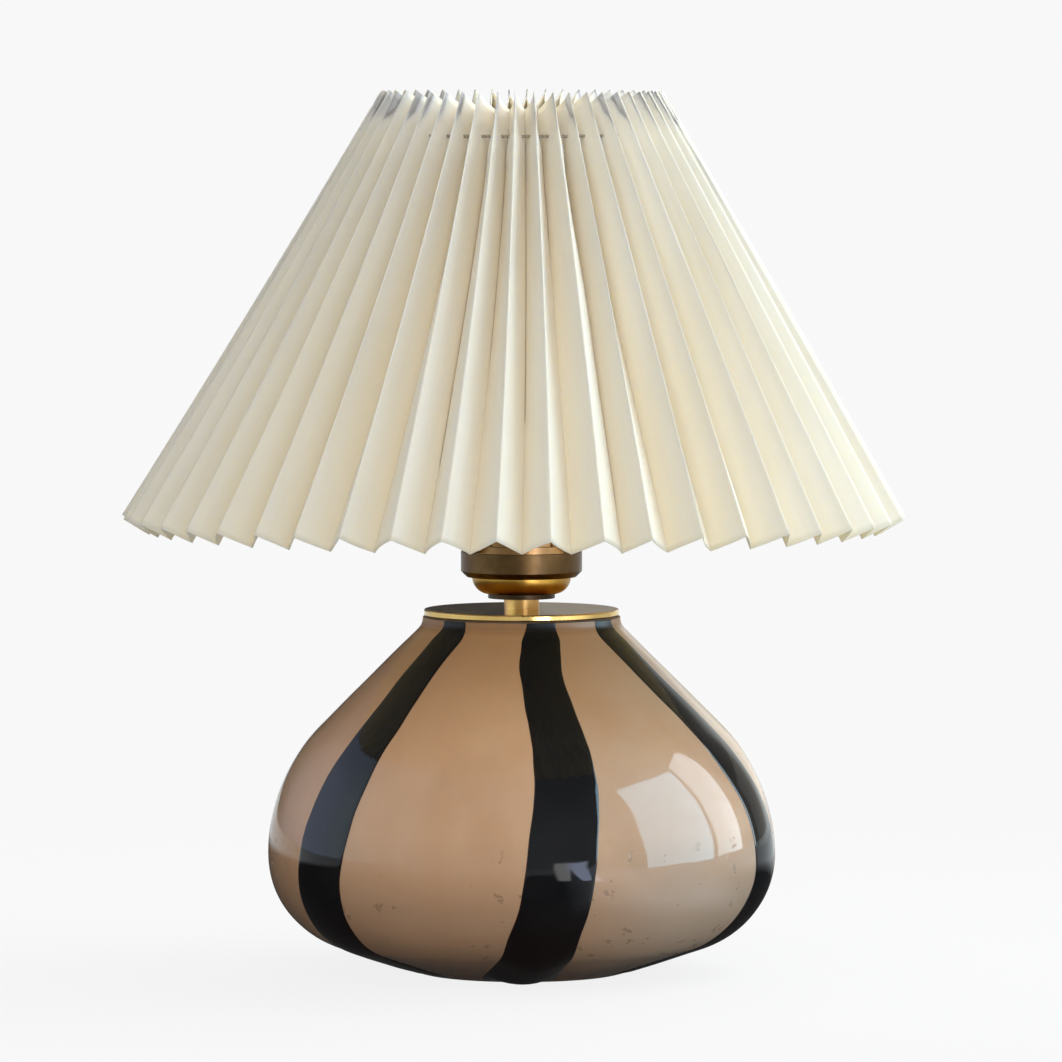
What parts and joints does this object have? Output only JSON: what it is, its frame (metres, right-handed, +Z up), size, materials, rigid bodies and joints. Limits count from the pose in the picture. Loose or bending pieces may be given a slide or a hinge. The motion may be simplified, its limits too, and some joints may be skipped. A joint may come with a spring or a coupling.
{
  "type": "table lamp",
  "caption": "Table lamp: rounded glass base with raised vertical stripes, brass neck cap and screw lampholder, and a pleated cone shade that lifts off.",
  "frame": {"origin": "on the surface the lamp stands on, below the middle of the foot", "axes": "+Z up along the lamp's axis; -Y is the front that the picture shows, +X its right"},
  "size_m": [0.3, 0.3, 0.3374],
  "materials": {
    "tan_glass": "blown, glossy",
    "black_glass": "blown, glossy",
    "bush_rubber": "matt",
    "zinc_steel": "zinc plated",
    "cork_rubber": "matt",
    "bright_brass": "polished",
    "dark_brass": "patinated",
    "neck_plastic": "moulded",
    "ceramic": "glazed",
    "contact_brass": "satin",
    "black_insulator": "vitrite",
    "nickel": "nickel plated",
    "opal_glass": "opal",
    "carrier_wire": "satin",
    "shade_sheet": "pleated sheet",
    "gather_cord": "twisted"
  },
  "bodies": {
    "base": {"glass_body": "tan_glass", "glass_stripes": "black_glass", "cord_inlet_bush": "bush_rubber", "threaded_rod": "zinc_steel", "foot_gasket": "cork_rubber", "clamp_plate": "zinc_steel", "lock_washer": "zinc_steel", "rod_nut": "zinc_steel", "neck_gasket": "cork_rubber", "vase_cap": "bright_brass", "neck_bush": "neck_plastic", "stem_tube": "bright_brass", "stem_washer": "dark_brass", "lampholder_cup": "bright_brass", "lampholder_sleeve": "bright_brass", "holder_band": "dark_brass", "grip_ring": "bright_brass", "lampholder_core": "ceramic", "screw_shell": "contact_brass", "centre_contact": "contact_brass", "contact_rivets": "contact_brass", "terminal_blocks": "contact_brass", "terminal_screws": "zinc_steel"},
    "carrier": {"fitter_ring": "bright_brass", "carrier_ring": "carrier_wire", "carrier_arms": "carrier_wire"},
    "shade": {"pleated_shade": "shade_sheet", "gathering_cord": "gather_cord"},
    "bulb_centre": {"bulb_button": "nickel"},
    "bulb": {"bulb_insulator": "black_insulator", "bulb_cap": "nickel", "bulb_globe": "opal_glass"}
  },
  "joints": [
    {"name": "carrier_swivel", "type": "hinge", "parent": "base", "child": "carrier", "pos_m": [0, 0, 0.1627], "axis": [0, 0, 1], "continuous": true},
    {"name": "shade_lift", "type": "slide", "parent": "carrier", "child": "shade", "axis": [0, 0, 1], "range_m": [0, 0.2]},
    {"name": "bulb_rise", "type": "slide", "parent": "base", "child": "bulb_centre", "axis": [0, 0, 1], "range_m": [0, 0.01089]},
    {"name": "bulb_turn", "type": "hinge", "parent": "bulb_centre", "child": "bulb", "pos_m": [0, 0, 0.19], "axis": [0, 0, 1], "range_deg": [0, 1080]}
  ],
  "couplings": [
    {"joint": "bulb_rise", "follows": "bulb_turn", "m_per_rad": 0.00057757}
  ]
}
